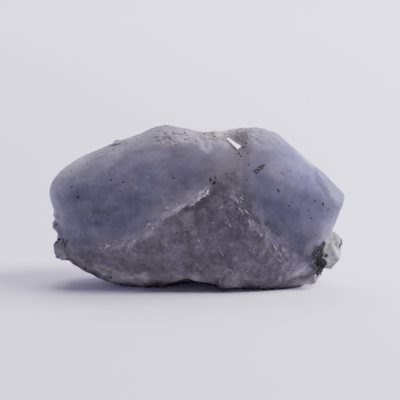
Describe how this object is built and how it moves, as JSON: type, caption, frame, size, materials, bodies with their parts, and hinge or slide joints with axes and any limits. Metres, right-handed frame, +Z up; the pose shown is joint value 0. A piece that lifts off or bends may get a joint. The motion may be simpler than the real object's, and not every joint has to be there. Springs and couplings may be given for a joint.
{
  "type": "rough tanzanite",
  "caption": "Rough violet-blue zoisite crystal, as dug: a smooth domed half and a flat-faced half over a broken lower front, with a calcite grain at one end.",
  "frame": {"origin": "middle of the stone's box, on the surface that it rests on", "axes": "+X along the stone's length towards the end with the calcite grain, -Y its front, +Z up"},
  "size_m": [0.0319, 0.0159, 0.0172],
  "materials": {
    "zoisite": "satin"
  },
  "bodies": {
    "root": {"stone": "zoisite"}
  },
  "joints": []
}
